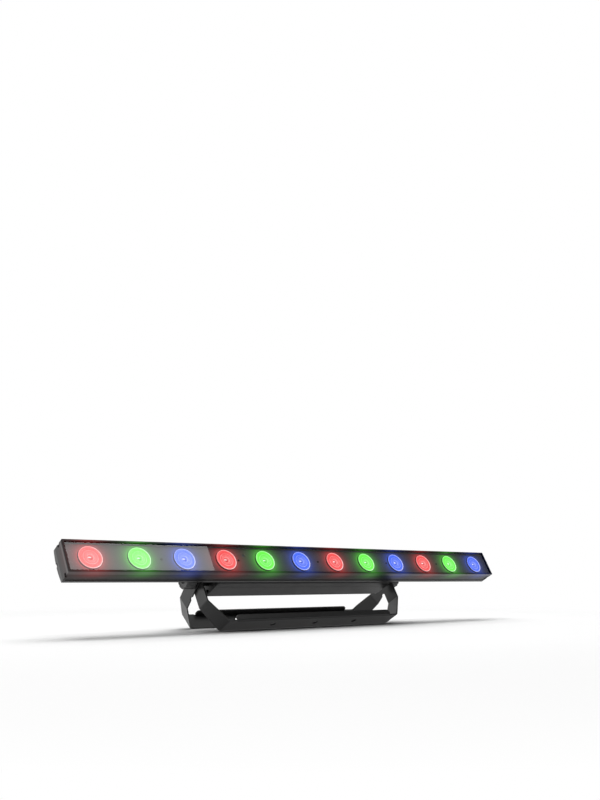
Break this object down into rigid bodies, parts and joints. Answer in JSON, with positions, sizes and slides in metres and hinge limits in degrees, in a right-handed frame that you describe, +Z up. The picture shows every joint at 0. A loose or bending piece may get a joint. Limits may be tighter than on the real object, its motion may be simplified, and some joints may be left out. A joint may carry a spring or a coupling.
{
  "type": "led strip batten",
  "caption": "LED strip batten: a long bar of round colour lenses, lit from a rear housing, on a double splayed floor bracket with clamping knobs.",
  "frame": {"origin": "on the floor, under the middle of the batten's footprint", "axes": "+X along the bar to its right end as seen from the front, -Y the way the beams leave, +Z up; at rest the beams point 30 degrees above horizontal"},
  "size_m": [1, 0.1547, 0.151],
  "materials": {
    "bar_paint": "fine-textured black powder coat on an aluminium extrusion",
    "bracket_paint": "fine-textured black powder coat on steel strip",
    "black_plate": "satin black face plate",
    "window_clear": "clear glossy sheet",
    "lens_red": "clear moulded lens lit red",
    "lens_green": "clear moulded lens lit green",
    "lens_blue": "clear moulded lens lit blue",
    "holder_black": "moulded black",
    "seal_rubber": "matt black rubber",
    "board_white": "white solder mask on a metal-core board",
    "board_green": "green solder mask",
    "emitter": "moulded light source",
    "component": "moulded and wound electronic parts",
    "screw_black": "blackened steel",
    "steel_bright": "zinc-plated steel",
    "pin_metal": "plated contact metal",
    "knob_black": "moulded black grip",
    "socket_black": "moulded black",
    "washer_nylon": "black nylon",
    "display_glass": "tinted clear window",
    "button_grey": "moulded push button",
    "wire_jacket": "insulated wire"
  },
  "bodies": {
    "front_bracket": {"front_bracket": "bracket_paint", "friction_washers": "washer_nylon"},
    "rear_bracket": {"rear_bracket": "bracket_paint"},
    "knob_left": {"knob_left": "knob_black", "knob_stud_left": "steel_bright"},
    "knob_right": {"knob_right": "knob_black", "knob_stud_right": "steel_bright"},
    "fuse_cap": {"fuse_cap": "socket_black"},
    "data_latch": {"dmx_latch": "steel_bright"},
    "menu_button_1": {"menu_button_1": "button_grey"},
    "menu_button_2": {"menu_button_2": "button_grey"},
    "menu_button_3": {"menu_button_3": "button_grey"},
    "menu_button_4": {"menu_button_4": "button_grey"},
    "head": {"bar_extrusion": "bar_paint", "end_cap_left": "bar_paint", "end_cap_right": "bar_paint", "end_cap_screws": "screw_black", "window": "window_clear", "window_seals": "seal_rubber", "lens_plate": "black_plate", "plate_screws": "screw_black", "plate_standoffs": "steel_bright", "lenses_red": "lens_red", "lenses_green": "lens_green", "lenses_blue": "lens_blue", "lens_holders": "holder_black", "led_boards": "board_white", "led_emitters": "emitter", "board_screws": "steel_bright", "ir_receiver": "component", "cable_grommet": "seal_rubber", "rear_housing": "bar_paint", "housing_end_left": "bar_paint", "housing_end_right": "bar_paint", "housing_screws": "screw_black", "foot_screws": "steel_bright", "pivot_spacers": "screw_black", "pivot_nuts": "steel_bright", "knob_washers": "screw_black", "mains_inlet": "socket_black", "inlet_pins": "pin_metal", "mains_outlet": "socket_black", "fuse_holder": "socket_black", "fuse": "steel_bright", "dmx_input": "steel_bright", "dmx_pins": "pin_metal", "dmx_output": "steel_bright", "connector_screws": "screw_black", "menu_panel": "black_plate", "display_module": "component", "display_window": "display_glass", "control_board": "board_green", "control_parts": "component", "psu_standoffs": "steel_bright", "psu_board": "board_green", "psu_parts": "component", "wiring_harness": "wire_jacket", "safety_eye": "bracket_paint", "safety_eye_screws": "steel_bright"}
  },
  "joints": [
    {"name": "bracket_spread", "type": "hinge", "parent": "front_bracket", "child": "rear_bracket", "pos_m": [0, -0.00161, 0.0893], "axis": [1, 0, 0], "range_deg": [-68, 30]},
    {"name": "head_tilt", "type": "hinge", "parent": "front_bracket", "child": "head", "pos_m": [0, -0.00161, 0.0893], "axis": [-1, 0, 0], "range_deg": [-34, 110]},
    {"name": "knob_left_turn", "type": "hinge", "parent": "head", "child": "knob_left", "pos_m": [-0.25, -0.00161, 0.0893], "axis": [1, 0, 0], "continuous": true},
    {"name": "knob_right_turn", "type": "hinge", "parent": "head", "child": "knob_right", "pos_m": [0.25, -0.00161, 0.0893], "axis": [1, 0, 0], "continuous": true},
    {"name": "fuse_cap_turn", "type": "hinge", "parent": "head", "child": "fuse_cap", "pos_m": [0.066, 0.01473, 0.0816], "axis": [0, 0.866, -0.5], "range_deg": [0, 90]},
    {"name": "data_latch_press", "type": "slide", "parent": "head", "child": "data_latch", "axis": [0, -0.866, 0.5], "range_m": [0, 0.002]},
    {"name": "menu_button_1_press", "type": "slide", "parent": "head", "child": "menu_button_1", "axis": [0, -0.866, 0.5], "range_m": [0, 0.0006]},
    {"name": "menu_button_2_press", "type": "slide", "parent": "head", "child": "menu_button_2", "axis": [0, -0.866, 0.5], "range_m": [0, 0.0006]},
    {"name": "menu_button_3_press", "type": "slide", "parent": "head", "child": "menu_button_3", "axis": [0, -0.866, 0.5], "range_m": [0, 0.0006]},
    {"name": "menu_button_4_press", "type": "slide", "parent": "head", "child": "menu_button_4", "axis": [0, -0.866, 0.5], "range_m": [0, 0.0006]}
  ]
}
